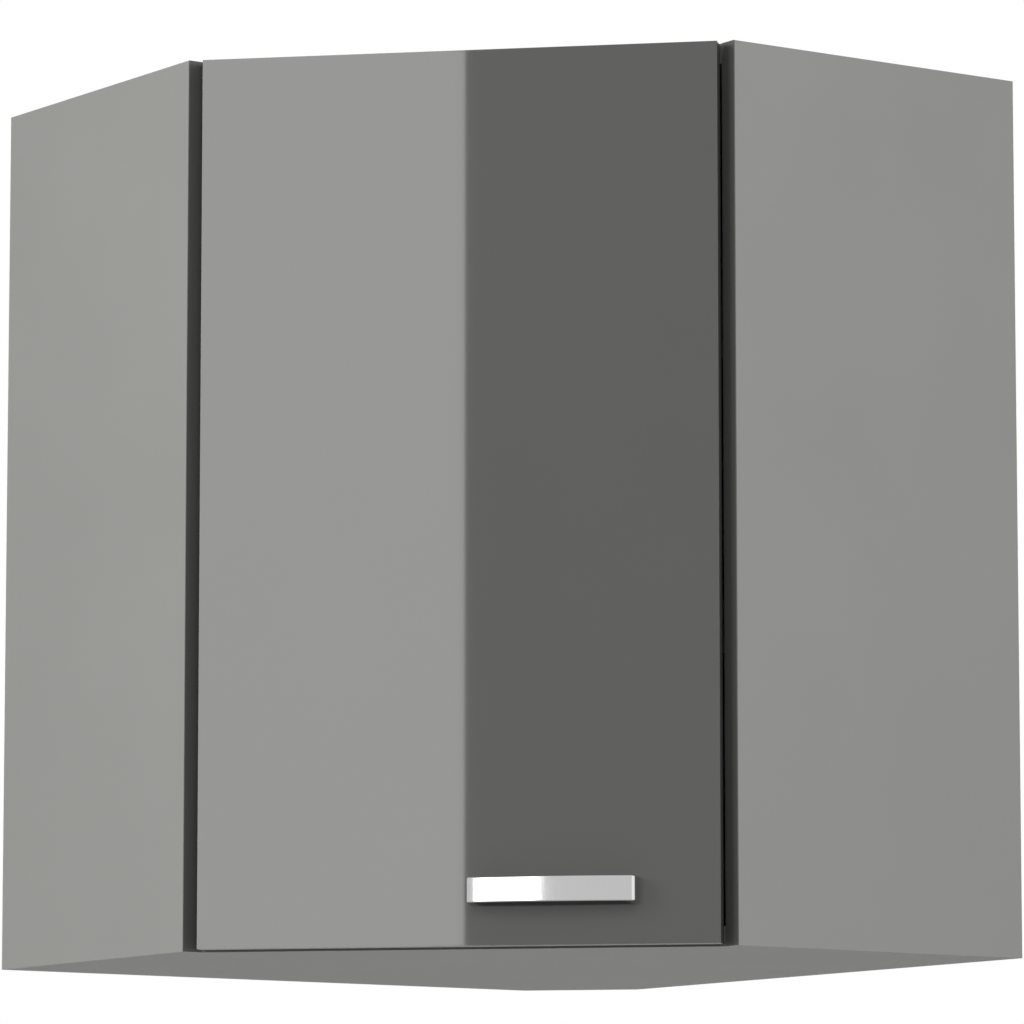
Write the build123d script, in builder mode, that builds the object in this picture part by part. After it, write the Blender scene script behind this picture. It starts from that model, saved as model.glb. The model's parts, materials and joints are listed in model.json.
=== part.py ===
from build123d import *
import os
from math import hypot, sqrt

# Diagonal corner wall cabinet with one door. All lengths are in millimetres, +Z is up.
# The origin is the room corner at the height of the cabinet's underside. The left wall is the
# plane x = 0, the right wall is the plane y = 0, and the door faces (+1, -1, 0).
# Left and right are as seen by a person who stands in front of the door.
# The carcass is symmetric about the upright plane through the origin that holds (1, -1, 0).

os.makedirs("parts", exist_ok=True)

ROOT_2 = sqrt(2)

# ---------------------------------------------------------------- carcass sizes
wall_length = 600           # along each wall
height = 720
side_depth = 286            # of each side panel, from its wall to its front edge
board = 16                  # laminated board
band = 1                    # edging on boards
corner_cut = 100            # width of the flat across the cut rear corner
floor_setback = 2           # of the top and bottom panels behind the sides' inner front edges

back_thickness = 3
wall_gap = 16               # between a wall and the hardboard back, for the rail and the hook
groove_depth = 8
groove_play = 0.2           # added to the back's thickness
back_end_play = 0.5         # between the back's edge and the groove's bottom
corner_groove_depth = 9

# ---------------------------------------------------------------- shelves
lower_shelf_height = 235    # of the underside
upper_shelf_below_top = 250  # of the underside
shelf_play = 1              # beside the side panels and the backs
shelf_setback = 30          # behind the carcass's inner front line
pin_radius = 2.5
pin_hole_depth = 8.5
pin_sunk = 8
pin_reach = 9               # of the pin out of its panel
pin_collar_radius = 4
pin_collar = 0.8
pin_front = 205             # from the wall
pin_rear = 55
pin_pitch = 32
pin_rows = 5

# ---------------------------------------------------------------- knock-down fittings
cam_from_wall = (70, 236)
dowel_from_wall = (102, 204)
cam_reach = 24              # from the panel's edge to the cam's centre
cam_radius = 7.5
cam_height = 12.5
cam_bore_depth = 13
cam_slot = 8.4
cam_cover_radius = 8.6
cam_cover = 1
cam_stub_radius = 2.4
cam_stub = 1.5
cam_stub_play = 0.2
bolt_thread_radius = 2.5
bolt_thread = 10.5
bolt_hole_depth = 11
bolt_shaft_radius = 3
bolt_bore_radius = 4
bolt_head_radius = 3.6
bolt_head = 3
dowel_radius = 4
dowel_length = 28
dowel_in_face = 10
dowel_end_play = 1
corner_dowel_spread = 64

# ---------------------------------------------------------------- hangers and wall rails
rail_steel = 2
rail_height = 24
rail_below_top = 80         # of the rail's lower edge
rail_step = 10              # from the wall to the front of the rail's lip
rail_lip = 14               # height of the lip over the step
rail_end_gap = 8            # to the side panel's inner face
rail_corner_gap = 16        # to the corner panel at the wall
rail_hole_radius = 3
rail_hole_spacing = 320
hanger_width = 20           # away from the side panel
hanger_depth = 46           # into the cabinet from the back
hanger_height = 62
hanger_below_rail = 12      # of the housing's underside, under the rail's lower edge
hanger_wall = 2
hanger_edge = 1.5
hook_steel = 3
hook_offset = 10            # of the hook's middle from the side panel
hook_tooth = 4
hook_drop = 10
hook_bridge = 7
hook_slot_play = 2
hook_play = 0.4             # between the tooth and the rail's lip
hook_shoulder = 4           # from the back's front face
hook_reach = 32
hanger_screw_radius = 2
hanger_screw_head_radius = 3.8
hanger_screw_head = 2
hanger_screw_sunk = 12
hanger_screw_spacing = 30
adjuster_radius = 3
adjuster_length = 12
adjuster_spacing = 24
adjuster_proud = 0.8

# ---------------------------------------------------------------- door and handle
door_thickness = 16
door_side_gap = 12.5        # between the carcass's outer front edge and the door's edge
door_end_gap = 1.5          # at the top and the bottom
door_gap = 1.5              # between the door and the sides' inner front edges

handle_spacing = 128        # between the two screws
handle_leg = 7
handle_height = 20
handle_end_depth = 22       # of the front at the legs
handle_bow = 5              # more at the middle
handle_bar = 5
handle_edge = 1
handle_corner = 4.5
handle_middle_across = 78   # right of the door's middle
handle_middle_up = 43.8     # above the cabinet's underside
handle_screw_radius = 2
handle_screw_hole_radius = 2.5
handle_screw_grip = 9       # into the handle's leg
handle_screw_head_radius = 4
handle_screw_head = 2.4
screw_slot = 1.1

bumper_radius = 4
bumper_play = 0.1
bumper_from_edge = 22

# ---------------------------------------------------------------- hinges
hinge_from_end = 100        # of the cup's middle, from the carcass's top and bottom
cup_radius = 17.5
cup_to_edge = 3             # from the door's edge to the cup's bore
cup_depth = 13.1
cup_wall = 0.7
cup_floor = 0.6
cup_bore_play = 0.1
cup_flange = 1
cup_flange_radius = 18.5
cup_ear = 2
cup_ear_height = 7.2
cup_ear_reach = 2.6         # beyond the pin's axis
ear_play = 0.4              # between each ear and the arm's neck
cup_screw_spacing = 45
cup_screw_offset = 9.5      # from the cup's middle, away from the door's edge
cup_wing_radius = 5.5
cup_screw_radius = 1.7
cup_screw_length = 11
cup_screw_head_radius = 3.3
cup_screw_head = 1.4

hinge_pin_radius = 1.5
hinge_pin_across = 7.6      # from the door's edge
hinge_pin_in = 9.3          # from the door's back
hinge_pin_play = 0.05       # radial, in the arm's eye
arm_steel = 2
arm_neck_width = 10.4
arm_width = 16
arm_eye_radius = 2.7
arm_clearance = 0.7         # between the door's corner and the arm's neck
arm_wide_from = 3           # behind the pin
arm_flange = 1.5
arm_flange_depth = 6
arm_flange_front = 18       # from the pin back to the start of the flanges
arm_length = 76             # behind the pin
plate_behind_front = 37     # from the side panel's front edge to the plate's screws
plate_steel = 2
plate_length = 42
plate_wing = 12
plate_screw_spacing = 32
plate_wing_reach = 23
plate_rib_width = 12
plate_screw_radius = 2.5
plate_screw_sunk = 12
plate_screw_head_radius = 4.4
plate_screw_head = 1.6
depth_screw_radius = 2.5
depth_screw_head_radius = 4.5
depth_screw_head = 2.6
depth_screw_sunk = 6
side_screw_radius = 2.8
side_screw_sunk = 4
side_screw_proud = 0.8
depth_slot = 4
adjust_screw_offset = 11    # of both screws from the plate's middle, one each way
screw_hole_play = 0.1
spring_steel = 0.6
spring_width = 6
spring_near = 12
spring_far = 33
spring_upright = 6

# ---------------------------------------------------------------- derived places
front_middle = (wall_length + side_depth) / 2
front_span = (wall_length - side_depth) * ROOT_2
inner_front = board / ROOT_2
corner_leg = corner_cut / ROOT_2
side_face = board - wall_length                       # y of the left panel's inner face
front_line = side_depth - side_face                   # x - y on the sides' inner front edges
floor_line = front_line - floor_setback * ROOT_2
corner_face_line = corner_leg + board * ROOT_2        # x - y on the corner panel's inner face
groove_width = back_thickness + groove_play
back_face = wall_gap + groove_width
groove_end = wall_gap - corner_face_line + corner_groove_depth
corner_plane = Plane(origin=(0, 0, 0), x_dir=(1, -1, 0), z_dir=(1, 1, 0))
side_inner = Plane.XZ.offset(-side_face)              # looks into the left side panel

door_width = front_span - 2 * door_side_gap
door_height = height - 2 * door_end_gap
door_back = inner_front - door_gap
door_front = door_back - door_thickness
door_edge = -door_width / 2                           # hinge side


def front_point(across, depth, up=0):
    """Point given from the middle of the line between the sides' outer front edges."""
    return Vector(
        front_middle + (across - depth) / ROOT_2,
        -front_middle + (across + depth) / ROOT_2,
        up,
    )


def front_plane(depth):
    """Upright plane parallel to the door. Its normal points at the viewer."""
    return Plane(origin=front_point(0, depth), x_dir=(1, 1, 0), z_dir=(1, -1, 0))


def door_plan(up):
    """Level plane at the door's hinge edge and back: x along the door, y into the cabinet."""
    return Plane(origin=front_point(door_edge, door_back, up), x_dir=(1, 1, 0), z_dir=(0, 0, 1))


def both_hands(points):
    """The given points in plan, with their mirror images on the other hand."""
    return points + [(-y, -x) for x, y in points]


def floor_outline(line):
    """Six-sided outline between the side panels, with its front edge at x - y = line."""
    return [
        (0, side_face),
        (line + side_face, side_face),
        (-side_face, -line - side_face),
        (-side_face, 0),
        (corner_leg, 0),
        (0, -corner_leg),
    ]


def band_outline(front, rear, side):
    """Strip along a diagonal front edge, between the lines x - y = front and rear."""
    return [
        (front + side, side),
        (-side, -front - side),
        (-side, -rear - side),
        (rear + side, side),
    ]


# ---------------------------------------------------------------- side panels
def pin_heights(shelf_height):
    """Heights of one column of shelf holes, with the pin's own hole in the middle."""
    middle = shelf_height - pin_radius
    return [middle + pin_pitch * (row - pin_rows // 2) for row in range(pin_rows)]


upper_shelf_height = height - upper_shelf_below_top
shelf_heights = (lower_shelf_height, upper_shelf_height)
shelf_holes = [up for shelf in shelf_heights for up in pin_heights(shelf)]
joint_heights = (board / 2, height - board / 2)
rail_bottom = height - rail_below_top
hanger_bottom = rail_bottom - hanger_below_rail
hanger_middle = back_face + hanger_depth / 2
hanger_screw_heights = [
    hanger_bottom + hanger_height / 2 + side * hanger_screw_spacing / 2 for side in (-1, 1)
]

with BuildPart() as side_board:
    with BuildSketch(Plane.XY):
        with Locations((0, -wall_length)):
            Rectangle(side_depth - band, board, align=(Align.MIN, Align.MIN))
    extrude(amount=height)
    with BuildSketch(Plane.XY.offset(board - groove_depth)):
        with Locations((wall_gap, side_face)):
            Rectangle(groove_width, groove_depth, align=(Align.MIN, Align.MAX))
    extrude(amount=height - 2 * (board - groove_depth), mode=Mode.SUBTRACT)
    with BuildSketch(side_inner):
        with Locations([(across, up) for across in (pin_rear, pin_front) for up in shelf_holes]):
            Circle(pin_radius)
    extrude(amount=pin_hole_depth, mode=Mode.SUBTRACT)
    with BuildSketch(side_inner):
        with Locations([(across, up) for across in cam_from_wall for up in joint_heights]):
            Circle(bolt_thread_radius)
    extrude(amount=bolt_hole_depth, mode=Mode.SUBTRACT)
    with BuildSketch(side_inner):
        with Locations([(across, up) for across in dowel_from_wall for up in joint_heights]):
            Circle(dowel_radius)
    extrude(amount=dowel_in_face + dowel_end_play, mode=Mode.SUBTRACT)
    with BuildSketch(side_inner):
        with Locations([(hanger_middle, up) for up in hanger_screw_heights]):
            Circle(hanger_screw_radius)
    extrude(amount=hanger_screw_sunk, mode=Mode.SUBTRACT)

hinge_heights = (hinge_from_end, height - hinge_from_end)
plate_x = side_depth - plate_behind_front
plate_holes = [
    (plate_x, up + side * plate_screw_spacing / 2) for up in hinge_heights for side in (-1, 1)
]

with BuildPart() as left_side_panel:
    add(side_board.part)
    with BuildSketch(side_inner):
        with Locations(plate_holes):
            Circle(plate_screw_radius)
    extrude(amount=plate_screw_sunk, mode=Mode.SUBTRACT)

with BuildPart() as right_side_panel:
    mirror(side_board.part, about=corner_plane)

with BuildPart() as left_front_edge_band:
    with BuildSketch(Plane.XY):
        with Locations((side_depth - band, -wall_length)):
            Rectangle(band, board, align=(Align.MIN, Align.MIN))
    extrude(amount=height)

with BuildPart() as right_front_edge_band:
    mirror(left_front_edge_band.part, about=corner_plane)

# ---------------------------------------------------------------- top and bottom panels
corner_board_middle = (corner_cut + board) / 2        # from the room corner along the diagonal
top_inner = height - board
bottom_inner = board


def floor_board(level, inner_level, inward):
    """Top or bottom panel with its grooves, cam bores and edge holes."""
    joint = level + board / 2
    with BuildPart() as panel:
        with BuildSketch(Plane.XY.offset(level)):
            with BuildLine():
                Polyline(*floor_outline(floor_line - band * ROOT_2), close=True)
            make_face()
        extrude(amount=board)
        with BuildSketch(Plane.XY.offset(inner_level)):
            with Locations((wall_gap, side_face)):
                Rectangle(groove_width, groove_end - side_face, align=(Align.MIN, Align.MIN))
            with Locations((-side_face, -wall_gap)):
                Rectangle(groove_end - side_face, groove_width, align=(Align.MAX, Align.MAX))
        extrude(amount=-inward * groove_depth, mode=Mode.SUBTRACT)
        with BuildSketch(Plane.XY.offset(inner_level)):
            with Locations(both_hands([(across, side_face + cam_reach) for across in cam_from_wall])):
                Circle(cam_radius)
        extrude(amount=-inward * cam_bore_depth, mode=Mode.SUBTRACT)
        with BuildSketch(Plane.XZ.offset(-side_face)):
            with Locations([(across, joint) for across in cam_from_wall]):
                Circle(bolt_bore_radius)
        extrude(amount=-cam_reach, mode=Mode.SUBTRACT)
        with BuildSketch(Plane.YZ.offset(-side_face)):
            with Locations([(-across, joint) for across in cam_from_wall]):
                Circle(bolt_bore_radius)
        extrude(amount=-cam_reach, mode=Mode.SUBTRACT)
        dowel_bore = dowel_length - dowel_in_face + dowel_end_play
        with BuildSketch(Plane.XZ.offset(-side_face)):
            with Locations([(across, joint) for across in dowel_from_wall]):
                Circle(dowel_radius)
        extrude(amount=-dowel_bore, mode=Mode.SUBTRACT)
        with BuildSketch(Plane.YZ.offset(-side_face)):
            with Locations([(-across, joint) for across in dowel_from_wall]):
                Circle(dowel_radius)
        extrude(amount=-dowel_bore, mode=Mode.SUBTRACT)
        with BuildSketch(Plane(origin=(0, 0, inner_level), x_dir=(1, 1, 0), z_dir=(0, 0, 1))):
            with Locations((0, -corner_board_middle)):
                Circle(bolt_thread_radius)
        extrude(amount=-inward * bolt_hole_depth, mode=Mode.SUBTRACT)
        with BuildSketch(Plane(origin=(0, 0, inner_level), x_dir=(1, 1, 0), z_dir=(0, 0, 1))):
            with Locations([(side * corner_dowel_spread / 2, -corner_board_middle) for side in (-1, 1)]):
                Circle(dowel_radius)
        extrude(amount=-inward * (dowel_in_face + dowel_end_play), mode=Mode.SUBTRACT)
    return panel


top_panel = floor_board(top_inner, top_inner, -1)
bottom_panel = floor_board(0, bottom_inner, 1)


def front_band(level):
    """Edging on the diagonal front edge of a top or bottom panel."""
    with BuildPart() as strip:
        with BuildSketch(Plane.XY.offset(level)):
            with BuildLine():
                Polyline(*band_outline(floor_line, floor_line - band * ROOT_2, side_face), close=True)
            make_face()
        extrude(amount=board)
    return strip


top_front_edge_band = front_band(top_inner)
bottom_front_edge_band = front_band(0)

# ---------------------------------------------------------------- back panels
inner_height = top_inner - bottom_inner
back_low = bottom_inner - groove_depth + back_end_play
back_high = top_inner + groove_depth - back_end_play
corner_inner = Plane(
    origin=(corner_face_line / 2, -corner_face_line / 2, 0),
    x_dir=(-1, -1, 0),
    z_dir=(-1, 1, 0),
)                                                     # looks into the corner panel
inner_levels = ((bottom_inner, 1), (top_inner, -1))   # inner faces, and the way into the cabinet

with BuildPart() as corner_back_panel:
    with BuildSketch(Plane.XY.offset(bottom_inner)):
        with BuildLine():
            Polyline(
                (0, -corner_leg),
                (0, -corner_face_line),
                (corner_face_line, 0),
                (corner_leg, 0),
                close=True,
            )
        make_face()
    extrude(amount=inner_height)
    with BuildSketch(Plane.XY.offset(bottom_inner)):
        with Locations((wall_gap, groove_end)):
            Rectangle(groove_width, 2 * corner_groove_depth, align=(Align.MIN, Align.MAX))
        with Locations((-groove_end, -wall_gap)):
            Rectangle(2 * corner_groove_depth, groove_width, align=(Align.MIN, Align.MAX))
    extrude(amount=inner_height, mode=Mode.SUBTRACT)
    with BuildSketch(corner_inner):
        with Locations([(0, up) for up in shelf_holes]):
            Circle(pin_radius)
    extrude(amount=pin_hole_depth, mode=Mode.SUBTRACT)
    with BuildSketch(corner_inner):
        with Locations([(0, level + inward * cam_reach) for level, inward in inner_levels]):
            Circle(cam_radius)
    extrude(amount=cam_bore_depth, mode=Mode.SUBTRACT)
    for level, inward in inner_levels:
        with BuildSketch(Plane(origin=(0, 0, level), x_dir=(1, 1, 0), z_dir=(0, 0, 1))):
            with Locations((0, -corner_board_middle)):
                Circle(bolt_bore_radius)
        extrude(amount=inward * cam_reach, mode=Mode.SUBTRACT)
        with BuildSketch(Plane(origin=(0, 0, level), x_dir=(1, 1, 0), z_dir=(0, 0, 1))):
            with Locations([(side * corner_dowel_spread / 2, -corner_board_middle) for side in (-1, 1)]):
                Circle(dowel_radius)
        extrude(amount=inward * (dowel_length - dowel_in_face + dowel_end_play), mode=Mode.SUBTRACT)

hook_low = rail_bottom + rail_height
hook_high = hook_low + rail_steel + rail_lip + hook_bridge

with BuildPart() as left_back_panel:
    with BuildSketch(Plane.XY.offset(back_low)):
        with Locations((wall_gap + groove_play / 2, side_face - groove_depth + back_end_play)):
            Rectangle(
                back_thickness,
                groove_end - side_face + groove_depth - 2 * back_end_play,
                align=(Align.MIN, Align.MIN),
            )
    extrude(amount=back_high - back_low)
    with BuildSketch(Plane.YZ.offset(wall_gap)):
        with Locations((side_face + hook_offset, hook_low - hook_slot_play)):
            Rectangle(
                hook_steel + 2 * hook_slot_play,
                hook_high - hook_low + 2 * hook_slot_play,
                align=(Align.CENTER, Align.MIN),
            )
    extrude(amount=2 * back_thickness, mode=Mode.SUBTRACT)

with BuildPart() as right_back_panel:
    mirror(left_back_panel.part, about=corner_plane)

# ---------------------------------------------------------------- shelves
shelf_wall = back_face + shelf_play
shelf_side = side_face + shelf_play
shelf_line = front_line - shelf_setback * ROOT_2
shelf_corner_line = corner_face_line + shelf_play * ROOT_2


def shelf(underside):
    """Loose shelf with its front edging left off."""
    rear_line = shelf_line - band * ROOT_2
    with BuildPart() as plank:
        with BuildSketch(Plane.XY.offset(underside)):
            with BuildLine():
                Polyline(
                    (shelf_wall, shelf_side),
                    (rear_line + shelf_side, shelf_side),
                    (-shelf_side, -rear_line - shelf_side),
                    (-shelf_side, -shelf_wall),
                    (shelf_corner_line - shelf_wall, -shelf_wall),
                    (shelf_wall, shelf_wall - shelf_corner_line),
                    close=True,
                )
            make_face()
        extrude(amount=board)
    return plank


def shelf_band(underside):
    """Edging on a shelf's diagonal front edge."""
    with BuildPart() as strip:
        with BuildSketch(Plane.XY.offset(underside)):
            with BuildLine():
                Polyline(*band_outline(shelf_line, shelf_line - band * ROOT_2, shelf_side), close=True)
            make_face()
        extrude(amount=board)
    return strip


def shelf_pins(underside):
    """Five pins under a shelf: two in each side panel and one in the corner panel."""
    middle = underside - pin_radius
    with BuildPart() as pins:
        with BuildSketch(side_inner):
            with Locations([(across, middle) for across in (pin_rear, pin_front)]):
                Circle(pin_radius)
        extrude(amount=pin_sunk)
        with BuildSketch(side_inner):
            with Locations([(across, middle) for across in (pin_rear, pin_front)]):
                Circle(pin_radius)
        extrude(amount=-pin_reach)
        with BuildSketch(side_inner):
            with Locations([(across, middle) for across in (pin_rear, pin_front)]):
                Circle(pin_collar_radius)
        extrude(amount=-pin_collar)
        mirror(about=corner_plane)
        with BuildSketch(corner_inner):
            with Locations((0, middle)):
                Circle(pin_radius)
        extrude(amount=pin_sunk)
        with BuildSketch(corner_inner):
            with Locations((0, middle)):
                Circle(pin_radius)
        extrude(amount=-pin_reach)
        with BuildSketch(corner_inner):
            with Locations((0, middle)):
                Circle(pin_collar_radius)
        extrude(amount=-pin_collar)
    return pins


lower_shelf = shelf(lower_shelf_height)
upper_shelf = shelf(upper_shelf_height)
lower_shelf_edge_band = shelf_band(lower_shelf_height)
upper_shelf_edge_band = shelf_band(upper_shelf_height)
lower_shelf_pins = shelf_pins(lower_shelf_height)
upper_shelf_pins = shelf_pins(upper_shelf_height)

# ---------------------------------------------------------------- knock-down fittings
joint_plan = Plane(origin=(0, 0, 0), x_dir=(1, 1, 0), z_dir=(0, 0, 1))
cam_points = [(across, side_face + cam_reach) for across in cam_from_wall]
bolt_points = [(across, up) for across in cam_from_wall for up in joint_heights]
dowel_points = [(across, up) for across in dowel_from_wall for up in joint_heights]
corner_cams = [(0, level + inward * cam_reach) for level, inward in inner_levels]
corner_dowels = [(side * corner_dowel_spread / 2, -corner_board_middle) for side in (-1, 1)]

with BuildPart() as cam_locks:
    for level, inward in inner_levels:
        with BuildSketch(Plane.XY.offset(level)):
            with Locations(cam_points):
                Circle(cam_radius)
                Circle(cam_stub_radius, mode=Mode.SUBTRACT)
        extrude(amount=-inward * (cam_stub + cam_stub_play))
        with BuildSketch(Plane.XY.offset(level - inward * (cam_stub + cam_stub_play))):
            with Locations(cam_points):
                Circle(cam_radius)
        extrude(amount=-inward * (cam_height - cam_stub - cam_stub_play))
    with BuildSketch(side_inner):
        with Locations(bolt_points):
            Circle(cam_slot / 2)
    extrude(amount=-(cam_reach + bolt_head), mode=Mode.SUBTRACT)
    mirror(about=corner_plane)
    with BuildSketch(corner_inner):
        with Locations(corner_cams):
            Circle(cam_radius)
            Circle(cam_stub_radius, mode=Mode.SUBTRACT)
    extrude(amount=cam_stub + cam_stub_play)
    with BuildSketch(corner_inner.offset(cam_stub + cam_stub_play)):
        with Locations(corner_cams):
            Circle(cam_radius)
    extrude(amount=cam_height - cam_stub - cam_stub_play)
    for level, inward in inner_levels:
        with BuildSketch(joint_plan.offset(level)):
            with Locations((0, -corner_board_middle)):
                Circle(cam_slot / 2)
        extrude(amount=inward * (cam_reach + bolt_head), mode=Mode.SUBTRACT)

with BuildPart() as cam_bolts:
    with BuildSketch(side_inner):
        with Locations(bolt_points):
            Circle(bolt_thread_radius)
    extrude(amount=bolt_thread)
    with BuildSketch(side_inner):
        with Locations(bolt_points):
            Circle(bolt_shaft_radius)
    extrude(amount=-cam_reach)
    with BuildSketch(side_inner.offset(bolt_head / 2 - cam_reach)):
        with Locations(bolt_points):
            Circle(bolt_head_radius)
    extrude(amount=-bolt_head)
    mirror(about=corner_plane)
    for level, inward in inner_levels:
        with BuildSketch(joint_plan.offset(level)):
            with Locations((0, -corner_board_middle)):
                Circle(bolt_thread_radius)
        extrude(amount=-inward * bolt_thread)
        with BuildSketch(joint_plan.offset(level)):
            with Locations((0, -corner_board_middle)):
                Circle(bolt_shaft_radius)
        extrude(amount=inward * cam_reach)
        with BuildSketch(joint_plan.offset(level + inward * (cam_reach - bolt_head / 2))):
            with Locations((0, -corner_board_middle)):
                Circle(bolt_head_radius)
        extrude(amount=inward * bolt_head)

with BuildPart() as cam_covers:
    for level, inward in inner_levels:
        with BuildSketch(Plane.XY.offset(level)):
            with Locations(cam_points):
                Circle(cam_cover_radius)
        extrude(amount=inward * cam_cover)
        with BuildSketch(Plane.XY.offset(level)):
            with Locations(cam_points):
                Circle(cam_stub_radius)
        extrude(amount=-inward * cam_stub)
    mirror(about=corner_plane)
    with BuildSketch(corner_inner):
        with Locations(corner_cams):
            Circle(cam_cover_radius)
    extrude(amount=-cam_cover)
    with BuildSketch(corner_inner):
        with Locations(corner_cams):
            Circle(cam_stub_radius)
    extrude(amount=cam_stub)

with BuildPart() as side_panel_dowels:
    with BuildSketch(side_inner.offset(dowel_in_face)):
        with Locations(dowel_points):
            Circle(dowel_radius)
    extrude(amount=-dowel_length)
    mirror(about=corner_plane)

with BuildPart() as corner_panel_dowels:
    for level, inward in inner_levels:
        with BuildSketch(joint_plan.offset(level - inward * dowel_in_face)):
            with Locations(corner_dowels):
                Circle(dowel_radius)
        extrude(amount=inward * dowel_length)

# ---------------------------------------------------------------- wall rails and hangers
rail_near = side_face + rail_end_gap
rail_far = -corner_face_line - rail_corner_gap
rail_middle = (rail_near + rail_far) / 2
rail_holes = [
    (rail_middle + side * rail_hole_spacing / 2, rail_bottom + rail_height / 2) for side in (-1, 1)
]
rail_top = rail_bottom + rail_height + rail_steel + rail_lip
hanger_top = hanger_bottom + hanger_height
hanger_front = back_face + hanger_depth
hook_middle = side_face + hook_offset
adjuster_heights = [
    hanger_bottom + hanger_height / 2 + side * adjuster_spacing / 2 for side in (-1, 1)
]

with BuildPart() as left_wall_rail:
    with BuildSketch(Plane.XZ.offset(-rail_near)):
        with BuildLine():
            Polyline(
                (0, rail_bottom),
                (rail_steel, rail_bottom),
                (rail_steel, rail_bottom + rail_height),
                (rail_step, rail_bottom + rail_height),
                (rail_step, rail_top),
                (rail_step - rail_steel, rail_top),
                (rail_step - rail_steel, rail_bottom + rail_height + rail_steel),
                (0, rail_bottom + rail_height + rail_steel),
                close=True,
            )
        make_face()
    extrude(amount=rail_near - rail_far)
    with BuildSketch(Plane.YZ):
        with Locations(rail_holes):
            Circle(rail_hole_radius)
    extrude(amount=rail_steel, mode=Mode.SUBTRACT)

with BuildPart() as right_wall_rail:
    mirror(left_wall_rail.part, about=corner_plane)

with BuildPart() as left_hanger_housing:
    with BuildSketch(Plane.XY.offset(hanger_bottom)):
        with Locations((back_face, side_face)):
            Rectangle(hanger_depth, hanger_width, align=(Align.MIN, Align.MIN))
    extrude(amount=hanger_height)
    fillet(left_hanger_housing.edges().filter_by(Axis.Z).sort_by(Axis.X)[-2:], hanger_edge)
    with BuildSketch(Plane.XY.offset(hanger_bottom + hanger_wall)):
        with Locations((back_face, side_face + hanger_wall)):
            Rectangle(
                hanger_depth - hanger_wall,
                hanger_width - 2 * hanger_wall,
                align=(Align.MIN, Align.MIN),
            )
    extrude(amount=hanger_height - 2 * hanger_wall, mode=Mode.SUBTRACT)
    with BuildSketch(side_inner):
        with Locations([(hanger_middle, up) for up in hanger_screw_heights]):
            Circle(hanger_screw_radius)
    extrude(amount=-hanger_wall, mode=Mode.SUBTRACT)
    with BuildSketch(side_inner.offset(-hanger_wall)):
        with Locations([(hanger_middle, up) for up in hanger_screw_heights]):
            Circle(hanger_screw_head_radius + hook_slot_play / 2)
    extrude(amount=-hanger_width, mode=Mode.SUBTRACT)
    with BuildSketch(Plane.YZ.offset(hanger_front)):
        with Locations([(hook_middle, up) for up in adjuster_heights]):
            Circle(adjuster_radius)
    extrude(amount=-2 * hanger_wall, mode=Mode.SUBTRACT)

with BuildPart() as right_hanger_housing:
    mirror(left_hanger_housing.part, about=corner_plane)

tooth_back = rail_step - rail_steel - hook_play

with BuildPart() as left_hanger_hook:
    with BuildSketch(Plane.XZ.offset(-hook_middle)):
        with BuildLine():
            Polyline(
                (tooth_back - hook_tooth, rail_top - hook_drop),
                (tooth_back, rail_top - hook_drop),
                (tooth_back, rail_top),
                (back_face + hook_shoulder, rail_top),
                (back_face + hook_shoulder, hanger_bottom + hanger_wall),
                (back_face + hook_reach, hanger_bottom + hanger_wall),
                (back_face + hook_reach, rail_top + hook_bridge),
                (tooth_back - hook_tooth, rail_top + hook_bridge),
                close=True,
            )
        make_face()
    extrude(amount=hook_steel / 2, both=True)

with BuildPart() as right_hanger_hook:
    mirror(left_hanger_hook.part, about=corner_plane)

with BuildPart() as left_hanger_screws:
    with BuildSketch(side_inner.offset(-hanger_wall)):
        with Locations([(hanger_middle, up) for up in hanger_screw_heights]):
            Circle(hanger_screw_radius)
    extrude(amount=hanger_wall + hanger_screw_sunk)
    with BuildSketch(side_inner.offset(-hanger_wall)):
        with Locations([(hanger_middle, up) for up in hanger_screw_heights]):
            Circle(hanger_screw_head_radius)
    extrude(amount=-hanger_screw_head)
    with BuildSketch(side_inner.offset(-hanger_wall - hanger_screw_head)):
        with Locations([(hanger_middle, up) for up in hanger_screw_heights]):
            Rectangle(2 * hanger_screw_head_radius, screw_slot)
    extrude(amount=hanger_screw_head / 2, mode=Mode.SUBTRACT)

with BuildPart() as right_hanger_screws:
    mirror(left_hanger_screws.part, about=corner_plane)

with BuildPart() as hanger_adjusters:
    with BuildSketch(Plane.YZ.offset(hanger_front + adjuster_proud)):
        with Locations([(hook_middle, up) for up in adjuster_heights]):
            Circle(adjuster_radius)
    extrude(amount=-adjuster_length)
    with BuildSketch(Plane.YZ.offset(hanger_front + adjuster_proud)):
        with Locations([(hook_middle, up) for up in adjuster_heights]):
            Rectangle(2 * adjuster_radius, screw_slot, rotation=45)
            Rectangle(2 * adjuster_radius, screw_slot, rotation=-45)
    extrude(amount=-2 * adjuster_proud, mode=Mode.SUBTRACT)
    mirror(about=corner_plane)

# ---------------------------------------------------------------- door
cup_across = door_edge + cup_to_edge + cup_radius
cup_screw_across = cup_across + cup_screw_offset
cup_screw_points = [
    (cup_screw_across, up + side * cup_screw_spacing / 2) for up in hinge_heights for side in (-1, 1)
]
handle_screw_points = [
    (handle_middle_across + side * handle_spacing / 2, handle_middle_up) for side in (-1, 1)
]

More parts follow.
